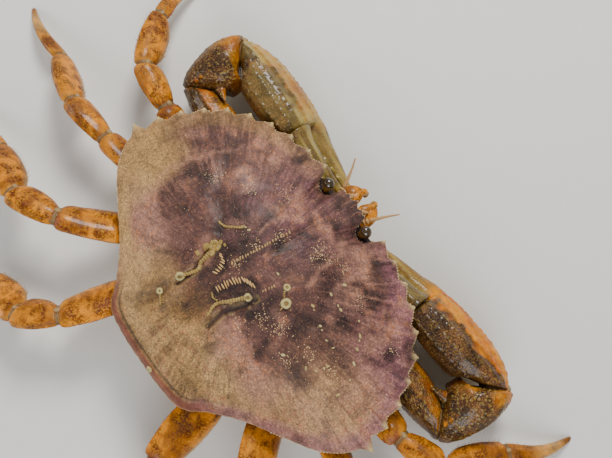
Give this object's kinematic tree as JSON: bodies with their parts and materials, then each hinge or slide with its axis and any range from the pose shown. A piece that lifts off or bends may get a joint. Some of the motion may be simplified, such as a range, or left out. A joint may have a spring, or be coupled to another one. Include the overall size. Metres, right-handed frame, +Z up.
{
  "type": "dungeness crab",
  "caption": "Life-size still crab with a broad domed shell, toothed along its front edge, claws folded before its mouth and walking legs spread, standing on its leg tips.",
  "frame": {"origin": "on the floor under the middle of the crab's bounding box", "axes": "+Z up, the crab faces -Y, its own left side is +X"},
  "size_m": [0.3676, 0.2, 0.0589],
  "materials": {
    "shell": "mottled purple-brown, satin",
    "belly": "cream, satin",
    "limb": "orange with rust joints, satin",
    "claw": "brown to orange with pale finger tips, satin",
    "eye": "near-black, glossy",
    "feeler": "ochre, satin"
  },
  "bodies": {
    "root": {"carapace": "shell", "thorax": "belly", "abdomen": "belly", "eye_left": "eye", "antenna_left": "feeler", "antennule_left": "feeler", "maxilliped_left": "belly", "claw_left_merus": "claw", "claw_left_carpus": "claw", "claw_left_palm": "claw", "claw_left_finger": "claw", "leg_left_1_merus": "limb", "leg_left_1_carpus": "limb", "leg_left_1_propodus": "limb", "leg_left_1_dactyl": "limb", "leg_left_2_merus": "limb", "leg_left_2_carpus": "limb", "leg_left_2_propodus": "limb", "leg_left_2_dactyl": "limb", "leg_left_3_merus": "limb", "leg_left_3_carpus": "limb", "leg_left_3_propodus": "limb", "leg_left_3_dactyl": "limb", "leg_left_4_merus": "limb", "leg_left_4_carpus": "limb", "leg_left_4_propodus": "limb", "leg_left_4_dactyl": "limb", "eye_right": "eye", "antenna_right": "feeler", "antennule_right": "feeler", "maxilliped_right": "belly", "claw_right_merus": "claw", "claw_right_carpus": "claw", "claw_right_palm": "claw", "claw_right_finger": "claw", "leg_right_1_merus": "limb", "leg_right_1_carpus": "limb", "leg_right_1_propodus": "limb", "leg_right_1_dactyl": "limb", "leg_right_2_merus": "limb", "leg_right_2_carpus": "limb", "leg_right_2_propodus": "limb", "leg_right_2_dactyl": "limb", "leg_right_3_merus": "limb", "leg_right_3_carpus": "limb", "leg_right_3_propodus": "limb", "leg_right_3_dactyl": "limb", "leg_right_4_merus": "limb", "leg_right_4_carpus": "limb", "leg_right_4_propodus": "limb", "leg_right_4_dactyl": "limb"}
  },
  "joints": []
}
